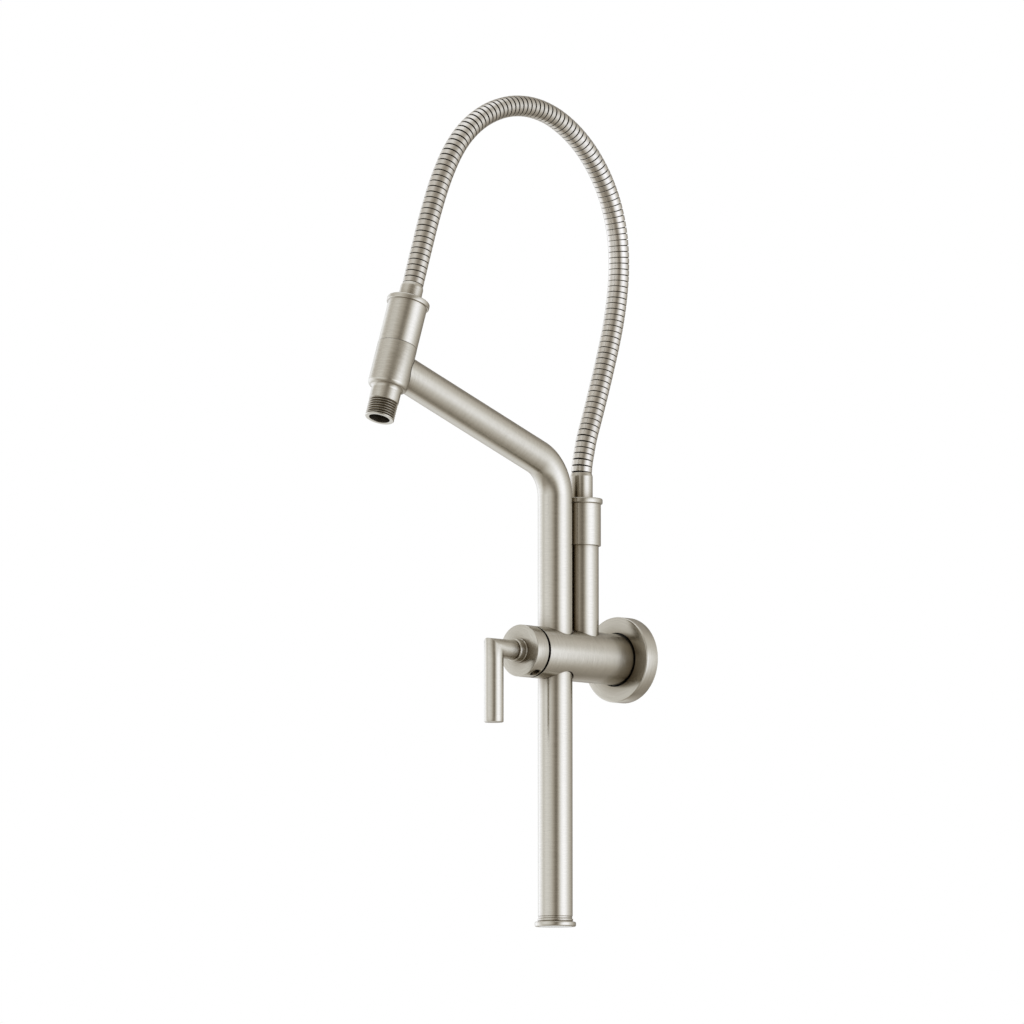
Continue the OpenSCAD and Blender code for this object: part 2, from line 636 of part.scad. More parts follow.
// A closed tube: stations = [distance, radius] along the outside, and its bore
module swept_tube(stations, bore_r, bore_stations) {
    outer = [for (st = stations) each around(st[0], st[1])];
    inner = [for (s = bore_stations) each around(s, bore_r)];
    n = len(stations);
    m = len(bore_stations);
    base = n * sides;
    function o(i, k) = i * sides + k % sides;
    function b(i, k) = base + i * sides + k % sides;
    faces = concat(
        [for (i = [0:n - 2]) for (k = [0:sides - 1]) each
            [[o(i, k), o(i + 1, k), o(i, k + 1)], [o(i, k + 1), o(i + 1, k), o(i + 1, k + 1)]]],
        [for (i = [0:m - 2]) for (k = [0:sides - 1]) each
            [[b(i, k), b(i, k + 1), b(i + 1, k)], [b(i, k + 1), b(i + 1, k + 1), b(i + 1, k)]]],
        [for (k = [0:sides - 1]) each [[o(0, k), o(0, k + 1), b(0, k)], [o(0, k + 1), b(0, k + 1), b(0, k)]]],
        [for (k = [0:sides - 1]) each
            [[o(n - 1, k), b(m - 1, k), o(n - 1, k + 1)], [o(n - 1, k + 1), b(m - 1, k), b(m - 1, k + 1)]]]);
    polyhedron(concat(outer, inner), faces);
}

// Metal cover of lapped bands: each band starts full and tapers under the next, and
// the cover is crimped smaller inside the ferrules
bands_from = nut_top_z + ferrule_low_len + low_gap - route[0][1];
bands_to = hose_len - upper_grip - up_gap;
ribs = round((bands_to - bands_from) / rib_pitch);
band = (bands_to - bands_from) / ribs;
cover_bore_r = 5.7;
lap = 0.45;
half_gap = 0.1;
bore_steps = 60;
module hose_cover()
    color("silver") swept_tube(
        concat([[0, crimp_r], [bands_from - 2 * half_gap, crimp_r]],
            [for (i = [0:ribs - 1]) each [[bands_from + i * band + half_gap, hose_d / 2],
                [bands_from + (i + 1) * band - half_gap, hose_d / 2 - lap]]],
            [[bands_to + 2 * half_gap, crimp_r], [hose_len, crimp_r]]),
        cover_bore_r, [for (i = [0:bore_steps]) hose_len * i / bore_steps]);

liner_steps = 40;
module hose_liner()
    color("gainsboro") swept_tube(
        [for (i = [0:liner_steps]) [hose_len * i / liner_steps, liner_d / 2]],
        liner_bore / 2, [for (i = [0:liner_steps]) hose_len * i / liner_steps]);

echo(hose_length = hose_len, bands = ribs, outlet_axis = [sleeve_y, sleeve_z]);

wall_bracket();
spigot_o_rings();
body_grub_screw();
wall_rosette();
rosette_gasket();
valve_body();
post_bearings();
post_lock_screw();
cartridge_gasket();
fixed_disc();
cartridge_housing();
cartridge_nut();
turning_disc();
cartridge_stem();
stem_o_ring();
handle_adapter();
adapter_screw();
handle_cap();
cap_set_screw();
lever_collar();
lever();
post_arm();
foot_flange();
foot_pad();
arm_plug();
outlet_sleeve();
hose_nut_upper();
hose_washer_upper();
hose_tail_upper();
ferrule_upper();
riser_tube();
riser_o_ring();
hose_nut_lower();
hose_washer_lower();
hose_tail_lower();
ferrule_lower();
hose_cover();
hose_liner();
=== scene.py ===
"""Wall-held pre-rinse faucet in brushed nickel: the looks, built round the CAD frame."""

import math

import bmesh
import bpy
from mathutils import Matrix, Vector


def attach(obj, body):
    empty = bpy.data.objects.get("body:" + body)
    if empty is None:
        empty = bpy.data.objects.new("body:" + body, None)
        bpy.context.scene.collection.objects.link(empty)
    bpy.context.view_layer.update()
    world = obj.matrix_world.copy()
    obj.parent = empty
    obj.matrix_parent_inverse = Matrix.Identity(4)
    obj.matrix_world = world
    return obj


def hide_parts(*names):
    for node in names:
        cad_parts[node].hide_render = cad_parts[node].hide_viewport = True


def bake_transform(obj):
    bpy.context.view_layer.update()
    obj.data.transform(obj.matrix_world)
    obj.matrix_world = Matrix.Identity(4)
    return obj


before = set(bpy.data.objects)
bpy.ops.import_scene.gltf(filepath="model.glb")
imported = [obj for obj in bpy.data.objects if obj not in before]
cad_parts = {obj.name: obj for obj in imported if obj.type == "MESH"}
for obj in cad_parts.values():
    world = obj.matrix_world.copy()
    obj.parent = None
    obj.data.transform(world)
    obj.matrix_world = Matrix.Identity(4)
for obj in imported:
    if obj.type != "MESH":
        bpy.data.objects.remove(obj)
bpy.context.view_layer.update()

MM = 0.001
TURN = 2 * math.pi
ROUND = 128                 # sides of a turned piece that says nothing else
FINE_ROUND = 192            # sides of the widest turned pieces
SHARP = math.radians(32)    # edges that turn by more than this are shaded hard

# ---------- sizes in millimetres, shared with the part's source ----------

POST_R = 12.5
POST_WALL = 2.0
POST_OUT = 76.6             # post's axis from the wall
POST_END_Z = -189.3
CORNER_Z = 134.7
BEND_R = 29.5
ARM_RISE = math.radians(19)
ARM_LEN = 180.2
FOOT_Z = -196.8
FOOT_PLUG_TOP = -172
BODY_R = 18.75
BODY_BACK = 4.3
BODY_FRONT = 101.9
CHAMBER_R = 12.5            # cartridge chamber, open to the front
CHAMBER_FLOOR = 94
NUT_RECESS_R = 14
NUT_RECESS_L = 3
RELIEF_Z = 12.4
CAP_BACK = 103.0
CAP_FRONT = 114.8
CAP_FACE_T = 3.4
SCREW_OUT = 108.4           # cap's set screw from the wall
SCREW_SIDE = math.radians(30)   # its turn from the cap's lowest line
COLLAR_R = 8.2
COLLAR_ROOT_R = 8.65
COLLAR_END = 121.6
ROSETTE_R = 31.2
ROSETTE_H = 11.7
LEVER_R = 7.0
LEVER_OUT = 141.6
LEVER_DROP = 53.2
STEM_START = 122.2
RISER_OUT = 48.2
RISER_R = 12.5
RISER_BORE_R = 7.5
NUT_TOP_Z = 114.8
NUT_LOW_LEN = 34.5
NUT_UP_LEN = 35.4
NUT_R = 14.1
NUT_FLANGE_R = 15.4
NUT_ROOF = 6.5              # metal over a nut's cavity
FERRULE_R = 8.2
FERRULE_TAPER = 2.6         # length of a ferrule's tapered tip
FERRULE_TIP = 0.3           # its end is this much smaller in radius than the hose
HOSE_R = 7.65
HOSE_PITCH = 4.4
COVER_BORE_R = 5.7
LINER_R = 4.7
LINER_BORE_R = 3.5
SLEEVE_R = 14.2
SEAM_Z = 15.4
SEAM_GAP = 0.3
THREAD_R = 10.4775
THREAD_PITCH = 1.814
THREAD_START = -27.7
OUTLET_END = -40.9
OUTLET_BORE_R = 7.4
NECK_R = 10.65
SHOULDER_Z = -14.4
SHOULDER_BEND = 3.0
FILLET_BEND = 3.8

# The hose's route as (y, z), from inside the riser's ferrule to inside the sleeve's. The points
# were computed: a smoothing curve through the hose's measured centre line, rounded to 0.1 mm and
# the last three to 0.01 mm. The loop bulges sideways by HOSE_BULGE.
HOSE_BULGE = 1.5
CRIMP_R = 6.1               # radius of the hose's cover inside the ferrules
UPPER_GRIP = 15.5           # hose held in the sleeve's ferrule
HOSE_ROUTE = [
    (-48.2, 114.5), (-48.2, 123.5), (-48.2, 132.6), (-47.3, 140.8), (-45.3, 149.6),
    (-42.5, 160.1), (-37, 175.2), (-31.9, 189.6), (-26.9, 204.3), (-22.1, 219.1), (-17.6, 233.9),
    (-13.7, 248.9), (-10.8, 264.2), (-8.9, 279.6), (-8.6, 295.1), (-10.1, 310.5),
    (-13.9, 325.5), (-19.8, 339.8), (-27.9, 353.1), (-37.8, 365), (-49.3, 375.4),
    (-62.3, 383.9), (-76.4, 390.4), (-91.3, 394.5), (-106.7, 395.9), (-122.2, 394.6),
    (-137.2, 390.7), (-151.4, 384.5), (-164.5, 376.2), (-176, 365.9), (-185.7, 353.8),
    (-193.7, 340.5), (-200.5, 326.5), (-206.3, 312.2), (-211.7, 297.6), (-216.6, 282.9),
    (-221.5, 268.1), (-226.31, 253.41), (-228.91, 245.84), (-231.36, 238.75),
]
FERRULE_LOW = 19.0          # visible lengths of the ferrules
FERRULE_UP = 12.4

# ---------- sizes in millimetres that only the looks have ----------

BAND_SINK = 0.65            # middle of a band's strip, inside the hose's radius
STRIP_T = 1.1
STRIP_EDGE = 0.13           # round on the strip's edges
BAND_TILT = 0.015           # radians by which a band is tapered along the hose
BAND_GAP = 0.64             # between two bands
CORE_DEPTH = 1.05           # the core, dark with painted shade, lies this far inside the hose's radius
TOP_BAND = 0.88             # a band's width round the loop's top, as a share of its width elsewhere
TOP_FROM = (0.4, 0.56)      # shares of the hose between which the bands get narrower
TOP_TO = (0.72, 0.84)       # and between which they get their width back
CAP_LINE = 0.6              # body and cap each stand back this much, so that the line between them shows
SEAM_LINE = 0.12            # the upper nut reaches this much lower, so that the seam shows less
ROSETTE_CLEAR = 0.9         # the rosette's hole stands off the body by this
RELIEF_R = 13.3             # clearance round the post where it leaves the body, wider than the part's
THREAD_DEPTH = 1.16

# ---------- places ----------

SLEEVE_AT = Vector((0, -POST_OUT - ARM_LEN * math.cos(ARM_RISE),
                    CORNER_Z + ARM_LEN * math.sin(ARM_RISE)))
OUTWARD = Matrix.Rotation(math.radians(90), 4, "X")      # local +Z points out from the wall
SLEEVE = Matrix.Translation(SLEEVE_AT) @ Matrix.Rotation(-ARM_RISE, 4, "X")
AT_POST = Matrix.Translation((0, -POST_OUT, 0))
AT_RISER = Matrix.Translation((0, -RISER_OUT, 0))
NUT_LOW = Matrix.Translation((0, -RISER_OUT, NUT_TOP_Z))
NUT_UP = SLEEVE @ Matrix.Translation((0, 0, SEAM_Z + SEAM_GAP + NUT_UP_LEN))


# ---------- camera ----------

def add_camera():
    """A long lens, a little below the object and to its right."""
    azimuth, elevation = math.radians(42.79), math.radians(-6.196)
    right = Vector((math.cos(azimuth), math.sin(azimuth), 0))
    back = Vector((math.sin(azimuth) * math.cos(elevation), -math.cos(azimuth) * math.cos(elevation),
                   math.sin(elevation)))
    up = back.cross(right)
    data = bpy.data.cameras.new("camera")
    data.sensor_width = 36
    data.lens = 256.09
    data.clip_end = 100
    camera = bpy.data.objects.new("camera", data)
    turn = Matrix((right, up, back)).transposed().to_4x4()
    camera.matrix_world = Matrix.Translation((3.53597, -3.94231, -0.46568)) @ turn
    bpy.context.scene.collection.objects.link(camera)
    bpy.context.scene.camera = camera


# ---------- materials ----------

def linear(hex_colour):
    """sRGB hex to linear RGBA."""
    values = [int(hex_colour[i:i + 2], 16) / 255 for i in (1, 3, 5)]
    return [v / 12.92 if v <= 0.04045 else ((v + 0.055) / 1.055) ** 2.4 for v in values] + [1.0]


def put(tree, kind, links=None, **settings):
    """Adds one node. settings are its properties, or inputs by name. links are {input: output socket}."""
    node = tree.nodes.new(kind)
    for key, value in settings.items():
        if hasattr(node, key):
            setattr(node, key, value)
        else:
            node.inputs[key.replace("_", " ")].default_value = value
    for key, source in (links or {}).items():
        tree.links.new(source, node.inputs[key])
    return node


def new_material(name):
    material = bpy.data.materials.new(name)
    material.use_nodes = True
    material.node_tree.nodes.clear()
    return material, material.node_tree


def finish_material(tree, shader):
    put(tree, "ShaderNodeOutputMaterial", {"Surface": shader.outputs[0]})


def brush_lines(tree, per_metre, around=2.0):
    """Noise drawn out into fine lines round a turned piece: u is the turn, v the way along its outline."""
    uv = put(tree, "ShaderNodeUVMap", uv_map="wrap")
    parts = put(tree, "ShaderNodeSeparateXYZ", {"Vector": uv.outputs[0]})
    angle = put(tree, "ShaderNodeMath", {0: parts.outputs[0]}, operation="MULTIPLY")
    angle.inputs[1].default_value = TURN
    cosine = put(tree, "ShaderNodeMath", {0: angle.outputs[0]}, operation="COSINE")
    sine = put(tree, "ShaderNodeMath", {0: angle.outputs[0]}, operation="SINE")
    place = put(tree, "ShaderNodeCombineXYZ",
                {"X": cosine.outputs[0], "Y": sine.outputs[0], "Z": parts.outputs[1]})
    stretched = put(tree, "ShaderNodeMapping", {"Vector": place.outputs[0]})
    stretched.inputs["Scale"].default_value = (around, around, per_metre)
    return put(tree, "ShaderNodeTexNoise", {"Vector": stretched.outputs[0]}, Scale=1.0, Detail=4.0,
               Roughness=0.65)


def painted_corner_shade(tree, colour):
    """Painted shade: the plate's colour turns a browner grey within about 16 mm of a corner or a nearby part,
    where shade falls.
    """
    open_sky = put(tree, "ShaderNodeAmbientOcclusion", samples=8, Distance=0.016)
    left = put(tree, "ShaderNodeMapRange", {"Value": open_sky.outputs["AO"]}, From_Min=0.3, From_Max=0.95,
               To_Min=0.0, To_Max=1.0)
    shade_mix = put(tree, "ShaderNodeMix", {"Factor": left.outputs[0], 7: colour}, data_type="RGBA")
    # the colour of the painted shade, a brown grey
    shade_mix.inputs[6].default_value = linear("#766A56")
    return shade_mix.outputs[2]


def brushed_nickel():
    """Nickel plate on brass, brushed round the piece on a belt: soft, slightly warm grey, with the
    highlight drawn out along the tube and fine lines that break it up."""
    material, tree = new_material("brushed_nickel")
    # the lines are drawn about 0.7 mm apart, coarser than real ones, so that they show at this size
    lines = brush_lines(tree, per_metre=1400)
    strong = put(tree, "ShaderNodeMapRange", {"Value": lines.outputs["Fac"]}, From_Min=0.25, From_Max=0.75)
    tone = put(tree, "ShaderNodeMix", {"Factor": strong.outputs[0]}, data_type="RGBA")
    tone.inputs[6].default_value = linear("#ACA699")
    tone.inputs[7].default_value = linear("#BEB8AB")
    rough = put(tree, "ShaderNodeMapRange", {"Value": strong.outputs[0]}, To_Min=0.17, To_Max=0.27)
    bump = put(tree, "ShaderNodeBump", {"Height": lines.outputs["Fac"]}, Strength=0.17, Distance=0.00005)
    # the highlight is drawn out along the tube, square to the brush lines
    along = put(tree, "ShaderNodeTangent", direction_type="UV_MAP", uv_map="wrap")
    # the base colour carries painted shade near corners and nearby parts
    shader = put(tree, "ShaderNodeBsdfPrincipled",
                 {"Base Color": painted_corner_shade(tree, tone.outputs[2]), "Roughness": rough.outputs[0],
                  "Normal": bump.outputs[0], "Tangent": along.outputs[0]},
                 Metallic=1.0, Anisotropic=0.75, Anisotropic_Rotation=0.25)
    finish_material(tree, shader)
    return material


def hose_strip():
    """Plated strip of the hose: bright, a little blotched, with fine lines left by the winding."""
    material, tree = new_material("nickel_hose_strip")
    across = put(tree, "ShaderNodeAttribute", attribute_name="across_band")
    number = put(tree, "ShaderNodeAttribute", attribute_name="band_number")
    coords = put(tree, "ShaderNodeTexCoord")
    place = put(tree, "ShaderNodeCombineXYZ", {"X": across.outputs["Fac"], "Y": number.outputs["Fac"]})
    blotch = put(tree, "ShaderNodeTexNoise", {"Vector": coords.outputs["Object"]}, Scale=160.0, Detail=3.0)
    lines = put(tree, "ShaderNodeTexNoise", {"Vector": place.outputs[0]}, Scale=2400.0, Detail=2.0)
    tone = put(tree, "ShaderNodeMix", {"Factor": blotch.outputs["Fac"]}, data_type="RGBA")
    tone.inputs[6].default_value = linear("#B1ABA0")
    tone.inputs[7].default_value = linear("#C4BDB1")
    rough = put(tree, "ShaderNodeMapRange", {"Value": lines.outputs["Fac"]}, To_Min=0.16, To_Max=0.3)
    shader = put(tree, "ShaderNodeBsdfPrincipled",
                 {"Base Color": tone.outputs[2], "Roughness": rough.outputs[0]}, Metallic=1.0)
    finish_material(tree, shader)
    return material


def plain_metal(name, colour, roughness):
    """Plain metal of one colour, a little uneven in its gloss: bare brass and steel, and the painted shade of
    gaps, recesses and thread grooves.
    """
    material, tree = new_material(name)
    coords = put(tree, "ShaderNodeTexCoord")
    marks = put(tree, "ShaderNodeTexNoise", {"Vector": coords.outputs["Object"]}, Scale=900.0, Detail=2.0)
    rough = put(tree, "ShaderNodeMapRange", {"Value": marks.outputs["Fac"]}, To_Min=roughness - 0.06,
                To_Max=roughness + 0.06)
    shader = put(tree, "ShaderNodeBsdfPrincipled", {"Roughness": rough.outputs[0]},
                 Base_Color=linear(colour), Metallic=1.0)
    finish_material(tree, shader)
    return material


def moulded(name, colour, roughness):
    """Rubber, plastic or ceramic: an even colour with a fine grain."""
    material, tree = new_material(name)
    coords = put(tree, "ShaderNodeTexCoord")
    grain = put(tree, "ShaderNodeTexNoise", {"Vector": coords.outputs["Object"]}, Scale=1500.0, Detail=2.0)
    bump = put(tree, "ShaderNodeBump", {"Height": grain.outputs["Fac"]}, Strength=0.1, Distance=0.00003)
    shader = put(tree, "ShaderNodeBsdfPrincipled", {"Normal": bump.outputs[0]},
                 Base_Color=linear(colour), Roughness=roughness)
    finish_material(tree, shader)
    return material


# ---------- mesh helpers ----------

def skin(name, rings, lengths, material, closed=True):
    """A mesh through rings of points. lengths is each ring's way along the outline, in metres, for the
    wrap map. closed joins the last ring back to the first."""
    count = len(rings[0])
    bm = bmesh.new()
    wrap = bm.loops.layers.uv.new("wrap")
    made = [[bm.verts.new(p) for p in ring] for ring in rings]
    for i in range(len(rings) if closed else len(rings) - 1):
        j = (i + 1) % len(rings)
        low = lengths[i]
        high = lengths[j] if j else lengths[i] + (rings[i][0] - rings[j][0]).length
        for k in range(count):
            m = (k + 1) % count
            face = bm.faces.new((made[i][k], made[i][m], made[j][m], made[j][k]))
            for loop, uv in zip(face.loops, ((k, low), (k + 1, low), (k + 1, high), (k, high))):
                loop[wrap].uv = (uv[0] / count, uv[1])
    bmesh.ops.remove_doubles(bm, verts=bm.verts, dist=1e-7)
    bmesh.ops.recalc_face_normals(bm, faces=bm.faces)
    mesh = bpy.data.meshes.new(name)
    bm.to_mesh(mesh)
    bm.free()
    mesh.materials.append(material)
    mesh.shade_smooth()
    mesh.set_sharp_from_angle(angle=SHARP)
    obj = bpy.data.objects.new(name, mesh)
    bpy.context.scene.collection.objects.link(obj)
    return obj


def way_along(rings):
    """Length of the way through the rings' centres, from the first to each."""
    lengths, travelled = [], 0.0
    for i, ring in enumerate(rings):
        if i:
            step = sum(ring, Vector()) / len(ring) - sum(rings[i - 1], Vector()) / len(ring)
            travelled += step.length
        lengths.append(travelled)
    return lengths


def soften(corners, steps=4):
    """Rounds the corners of a closed outline of (r, h) or (r, h, radius)."""
    outline = []
    count = len(corners)
    for i, corner in enumerate(corners):
        here = Vector(corner[:2])
        radius = corner[2] if len(corner) > 2 else 0
        if not radius:
            outline.append(here)
            continue
        before = Vector(corners[i - 1][:2]) - here
        after = Vector(corners[(i + 1) % count][:2]) - here
        half = before.angle(after) / 2
        reach = min(radius / math.tan(half), 0.49 * before.length, 0.49 * after.length)
        radius = reach * math.tan(half)
        middle = here + (before.normalized() + after.normalized()).normalized() * (radius / math.sin(half))
        start = here + before.normalized() * reach - middle
        end = here + after.normalized() * reach - middle
        sweep = start.angle(end)
        for step in range(steps + 1):
            t = step / steps
            spoke = start * math.sin((1 - t) * sweep) + end * math.sin(t * sweep)
            outline.append(middle + spoke / math.sin(sweep))
    return outline


def turned(name, corners, place, material, shape=None, sides=ROUND):
    """A turned piece: a closed outline in millimetres spun about its own z axis. shape may change a
    point's radius by its turn, as a thread does."""
    outline = soften(corners)
    along, travelled = [], 0.0
    for i, point in enumerate(outline):
        travelled += (point - outline[i - 1]).length if i else 0
        along.append(travelled * MM)
    rings = []
    for r, h in outline:
        ring = []
        for k in range(sides):
            a = TURN * k / sides
            radius = shape(r, h, a) if shape else r
            ring.append((place @ Vector((radius * math.cos(a), radius * math.sin(a), h))) * MM)
        rings.append(ring)
    return skin(name, rings, along, material)


def cut(obj, *tools):
    """Takes tools out of obj, and removes them."""
    for tool in tools:
        modifier = obj.modifiers.new("cut", "BOOLEAN")
        modifier.operation = "DIFFERENCE"
        modifier.solver = "EXACT"
        modifier.object = tool
    apply_modifiers(obj)
    for tool in tools:
        bpy.data.objects.remove(tool)
    obj.data.set_sharp_from_angle(angle=SHARP)


def round_edges(obj, width, angle=40):
    """A small round on every edge sharper than angle, as a polisher leaves it."""
    modifier = obj.modifiers.new("round", "BEVEL")
    modifier.width = width * MM
    modifier.segments = 2
    modifier.limit_method = "ANGLE"
    modifier.angle_limit = math.radians(angle)
    modifier.harden_normals = False
    apply_modifiers(obj)
    obj.data.set_sharp_from_angle(angle=SHARP)


def apply_modifiers(obj):
    bpy.context.view_layer.update()
    graph = bpy.context.evaluated_depsgraph_get()
    mesh = bpy.data.meshes.new_from_object(obj.evaluated_get(graph))
    obj.modifiers.clear()
    obj.data = mesh


def darken(obj, shade_paint, inside):
    """Gives the faces for which inside(centre in mm) holds the painted shade of a recess."""
    obj.data.materials.append(shade_paint)
    last = len(obj.data.materials) - 1
    for face in obj.data.polygons:
        if inside(face.center / MM):
            face.material_index = last


def stand_for(obj, body, node):
    """obj is the finished look of a CAD node, on its body."""
    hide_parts(node)
    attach(obj, body)


# ---------- hose ----------

def smooth_route(points, steps=16):
    """Catmull-Rom through the route's points, in metres, with the loop's sideways bulge."""
    p = [Vector((0, y, z)) * MM for y, z in points]
    out = []
    for i in range(len(p) - 1):
        a, b, c, d = p[max(i - 1, 0)], p[i], p[i + 1], p[min(i + 2, len(p) - 1)]
        for k in range(steps):
            t = k / steps
            out.append(0.5 * (2 * b + (c - a) * t + (2 * a - 5 * b + 4 * c - d) * t * t
                              + (3 * b - a - 3 * c + d) * t ** 3))
    out.append(p[-1])
    for i, point in enumerate(out):
        point.x = HOSE_BULGE * MM * math.sin(math.pi * i / (len(out) - 1)) ** 2
    return out


class Route:
    """A curve that is asked for its place and heading at a distance from its start."""

    def __init__(self, points):
        self.points = points
        self.reach = [0.0]
        for a, b in zip(points, points[1:]):
            self.reach.append(self.reach[-1] + (b - a).length)
        self.length = self.reach[-1]

    def at(self, s):
        s = min(max(s, 0.0), self.length)
        low, high = 0, len(self.reach) - 1
        while high - low > 1:
            middle = (low + high) // 2
            low, high = (middle, high) if self.reach[middle] <= s else (low, middle)
        t = (s - self.reach[low]) / (self.reach[high] - self.reach[low])
        return self.points[low].lerp(self.points[high], t)

    def heading(self, s, half=0.0015):
        return (self.at(s + half) - self.at(s - half)).normalized()


def hose_ring(route, s, radius, sides):
    """One ring of points round the route, at the distance s along it."""
    side = Vector((1, 0, 0))
    up = route.heading(s).cross(side)
    ring = []
    for k in range(sides):
        a = TURN * k / sides
        ring.append(route.at(s) + radius * (math.cos(a) * side + math.sin(a) * up))
    return ring


def put_input(tree, name, kind, value):
    """A named input of a Geometry Nodes tree."""
    socket = tree.interface.new_socket(name, in_out="INPUT", socket_type="NodeSocket" + kind)
    if value is not None:
        socket.default_value = value
    return socket.identifier


def band_tree():
    """Sets closed rings along a route: each is a flat strip turned into a band and tapered a little.
    They stand for the turns of a wound strip, with a gap between them. Lengths in metres."""
    tree = bpy.data.node_groups.new("hose_band_rings", "GeometryNodeTree")
    tree.interface.new_socket("Geometry", in_out="OUTPUT", socket_type="NodeSocketGeometry")
    keys = {name: put_input(tree, name, kind, value) for name, kind, value in (
        ("Core", "Geometry", None), ("Route", "Object", None), ("Bands", "Int", 100),
        ("Band Radius", "Float", 0.0072), ("Band Width", "Float", 0.0038),
        ("Strip Thickness", "Float", 0.0009), ("Edge Round", "Float", 0.0002),
        ("Lap Tilt", "Float", 0.06), ("Sides", "Int", 24), ("Metal", "Material", None))}
    given = tree.nodes.new("NodeGroupInput").outputs
    route = put(tree, "GeometryNodeObjectInfo", {"Object": given["Route"]})
    spots = put(tree, "GeometryNodeCurveToPoints",
                {"Curve": route.outputs["Geometry"], "Count": given["Bands"]})
    hoop = put(tree, "GeometryNodeCurvePrimitiveCircle",
               {"Resolution": given["Sides"], "Radius": given["Band Radius"]})
    strip = put(tree, "GeometryNodeCurvePrimitiveQuadrilateral",
                {"Width": given["Strip Thickness"], "Height": given["Band Width"]})
    eased = put(tree, "GeometryNodeFilletCurve",
                {"Curve": strip.outputs[0], "Radius": given["Edge Round"]}, mode="POLY", Count=1)
    tilt = put(tree, "ShaderNodeCombineXYZ", {"Z": given["Lap Tilt"]})
    tapered = put(tree, "GeometryNodeTransform",
                  {"Geometry": eased.outputs[0], "Rotation": tilt.outputs[0]})
    ring = put(tree, "GeometryNodeCurveToMesh",
               {"Curve": hoop.outputs[0], "Profile Curve": tapered.outputs[0]})
    # the way across each band and the band's number, for its winding lines
    own = put(tree, "GeometryNodeInputPosition")
    height = put(tree, "ShaderNodeSeparateXYZ", {"Vector": own.outputs[0]})
    marked = put(tree, "GeometryNodeStoreNamedAttribute",
                 {"Geometry": ring.outputs[0], "Value": height.outputs["Z"]}, Name="across_band")
    # round the top of the loop the bands are made narrower, for the look alone: the lines between
    # them would be too thin there
    number = put(tree, "GeometryNodeInputIndex")
    way = put(tree, "ShaderNodeMapRange", {"Value": number.outputs[0], "From Max": given["Bands"]})
    rise = put(tree, "ShaderNodeMapRange", {"Value": way.outputs[0]},
               From_Min=TOP_FROM[0], From_Max=TOP_FROM[1])
    fall = put(tree, "ShaderNodeMapRange", {"Value": way.outputs[0]},
               From_Min=TOP_TO[0], From_Max=TOP_TO[1], To_Min=1.0, To_Max=0.0)
    drawn = put(tree, "ShaderNodeMath", {0: rise.outputs[0], 1: fall.outputs[0]}, operation="MULTIPLY")
    narrow = put(tree, "ShaderNodeMapRange", {"Value": drawn.outputs[0]}, To_Min=1.0, To_Max=TOP_BAND)
    size = put(tree, "ShaderNodeCombineXYZ", {"Z": narrow.outputs[0]}, X=1.0, Y=1.0)
    rings = put(tree, "GeometryNodeInstanceOnPoints",
                {"Points": spots.outputs["Points"], "Instance": marked.outputs[0],
                 "Rotation": spots.outputs["Rotation"], "Scale": size.outputs[0]})
    counted = put(tree, "GeometryNodeStoreNamedAttribute",
                  {"Geometry": rings.outputs[0], "Value": number.outputs[0]},
                  domain="INSTANCE", Name="band_number")
    real = put(tree, "GeometryNodeRealizeInstances", {"Geometry": counted.outputs[0]})
    finished = put(tree, "GeometryNodeSetMaterial",
                   {"Geometry": real.outputs[0], "Material": given["Metal"]})
    both = put(tree, "GeometryNodeJoinGeometry")
    tree.links.new(given["Core"], both.inputs[0])
    tree.links.new(finished.outputs[0], both.inputs[0])
    done = tree.nodes.new("NodeGroupOutput")
    tree.links.new(both.outputs[0], done.inputs[0])
    return tree, keys


def hose_cover(metal, shade_paint):
    """The metal cover: a row of closed bands over a core in painted shade, which shows dark between them."""
    route = Route(smooth_route(HOSE_ROUTE))
    start = (NUT_TOP_Z + FERRULE_LOW) * MM - route.points[0].z
    end = route.length - UPPER_GRIP * MM
    bands = round((end - start) / (HOSE_PITCH * MM))
    pitch = (end - start) / bands
    steps = 160
    outside = [(0.0, CRIMP_R), (start - 0.1 * MM, CRIMP_R)]
    outside += [(start + (end - start) * i / steps, HOSE_R - CORE_DEPTH) for i in range(steps + 1)]
    outside += [(end + 0.1 * MM, CRIMP_R), (route.length, CRIMP_R)]
    inside = [(route.length * i / steps, COVER_BORE_R) for i in range(steps, -1, -1)]
    rings = [hose_ring(route, s, radius * MM, sides=48) for s, radius in outside + inside]
    cover = skin("hose_bands", rings, [s for s, _ in outside + inside], shade_paint)

    line = bpy.data.curves.new("hose_route", "CURVE")
    line.dimensions = "3D"
    spline = line.splines.new("POLY")
    steps = 600
    spline.points.add(steps)
    for i in range(steps + 1):
        spline.points[i].co = (*route.at(start + pitch / 2 + (end - start - pitch) * i / steps), 1)
    guide = bpy.data.objects.new("hose_route", line)
    bpy.context.scene.collection.objects.link(guide)

    tree, keys = band_tree()
    modifier = cover.modifiers.new("bands", "NODES")
    modifier.node_group = tree
    for name, value in (("Route", guide), ("Bands", bands), ("Band Radius", (HOSE_R - BAND_SINK) * MM),
                        ("Band Width", pitch - BAND_GAP * MM), ("Strip Thickness", STRIP_T * MM),
                        ("Edge Round", STRIP_EDGE * MM), ("Lap Tilt", BAND_TILT), ("Sides", 24),
                        ("Metal", metal)):
        modifier[keys[name]] = value
    apply_modifiers(cover)
    cover.data.set_sharp_from_angle(angle=math.radians(30))
    bpy.data.objects.remove(guide)
    return cover, route


def hose_liner(route, material):
    """The plain tube inside the cover."""
    steps = 120
    spots = [route.length * i / steps for i in range(steps + 1)]
    rings = [hose_ring(route, s, LINER_R * MM, sides=24) for s in spots]
    rings += [hose_ring(route, s, LINER_BORE_R * MM, sides=24) for s in spots[::-1]]
    return skin("hose_inner_tube", rings, spots + spots[::-1], material)


